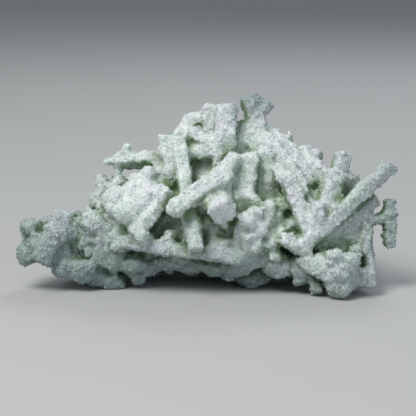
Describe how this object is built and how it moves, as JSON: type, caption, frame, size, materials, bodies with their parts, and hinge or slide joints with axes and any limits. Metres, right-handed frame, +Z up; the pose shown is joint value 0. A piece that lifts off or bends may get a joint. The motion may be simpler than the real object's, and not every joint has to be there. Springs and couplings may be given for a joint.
{
  "type": "prehnite pseudomorph specimen",
  "caption": "Free-standing openwork mound of blunt, straight prehnite fingers, casts of lath-shaped crystals, coated with pale green druse; rests on its flat cut base.",
  "frame": {"origin": "on the plane the specimen rests on, under the middle of its bounding box", "axes": "+X to the right as the front view shows it, along the mound's length; +Z up; -Y faces the viewer"},
  "size_m": [0.1504, 0.0844, 0.0758],
  "materials": {
    "prehnite_crust": "sugary druse of small crystals, translucent, satin with bright sparkle points"
  },
  "bodies": {
    "root": {"prehnite_cluster": "prehnite_crust"}
  },
  "joints": []
}
